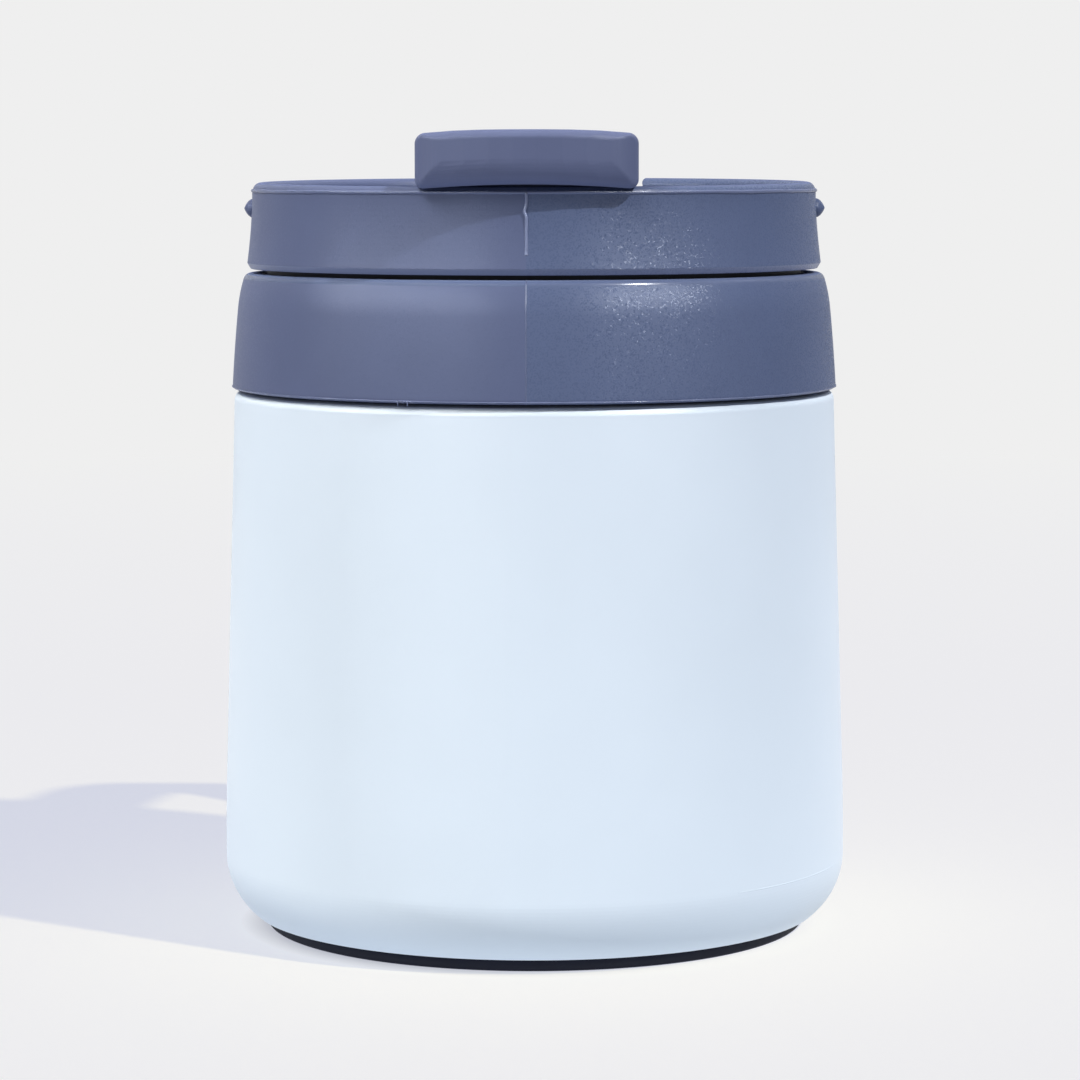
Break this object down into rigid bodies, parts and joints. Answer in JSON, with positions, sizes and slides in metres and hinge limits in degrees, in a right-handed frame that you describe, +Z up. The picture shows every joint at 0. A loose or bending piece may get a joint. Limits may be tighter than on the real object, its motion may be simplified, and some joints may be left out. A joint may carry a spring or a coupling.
{
  "type": "insulated mug",
  "caption": "Insulated painted steel mug with a plastic collar and strap handle, a screw-on lid with a sunken deck, and a hinged flip cover with a wide thumb tab over the sip opening.",
  "frame": {"origin": "middle of the foot pad's underside, on the mug's axis", "axes": "+Z up along the mug's axis, +Y towards the handle, -Y towards the flip tab and the drinking side"},
  "size_m": [0.09, 0.1245, 0.1146],
  "materials": {
    "body_paint": "satin pale blue paint",
    "bare_steel": "fine brushed",
    "foot_silicone": "matt",
    "collar_plastic": "fine mould grain",
    "lid_plastic": "fine mould grain",
    "insert_plastic": "satin",
    "seal_silicone": "matt"
  },
  "bodies": {
    "mug": {"outer_shell": "body_paint", "inner_liner": "bare_steel", "base_disc": "bare_steel", "seal_bead": "bare_steel", "getter_tablet": "bare_steel", "base_pad": "foot_silicone", "handle_collar": "collar_plastic"},
    "gasket": {"lid_gasket": "seal_silicone"},
    "lid": {"lid_cap": "lid_plastic", "lid_insert": "insert_plastic", "hinge_pin": "bare_steel"},
    "flap": {"flip_cover": "lid_plastic", "spout_plug": "seal_silicone", "vent_plug": "seal_silicone"}
  },
  "joints": [
    {"name": "lid_lift", "type": "slide", "parent": "mug", "child": "gasket", "axis": [0, 0, 1], "range_m": [0, 0.016]},
    {"name": "lid_turn", "type": "hinge", "parent": "gasket", "child": "lid", "pos_m": [0, 0, 0.0976], "axis": [0, 0, 1], "range_deg": [0, 480]},
    {"name": "flap_hinge", "type": "hinge", "parent": "lid", "child": "flap", "pos_m": [0, 0, 0.1102], "axis": [-1, 0, 0], "range_deg": [0, 180]}
  ],
  "couplings": [
    {"joint": "lid_lift", "follows": "lid_turn", "m_per_rad": 0.0019099}
  ]
}
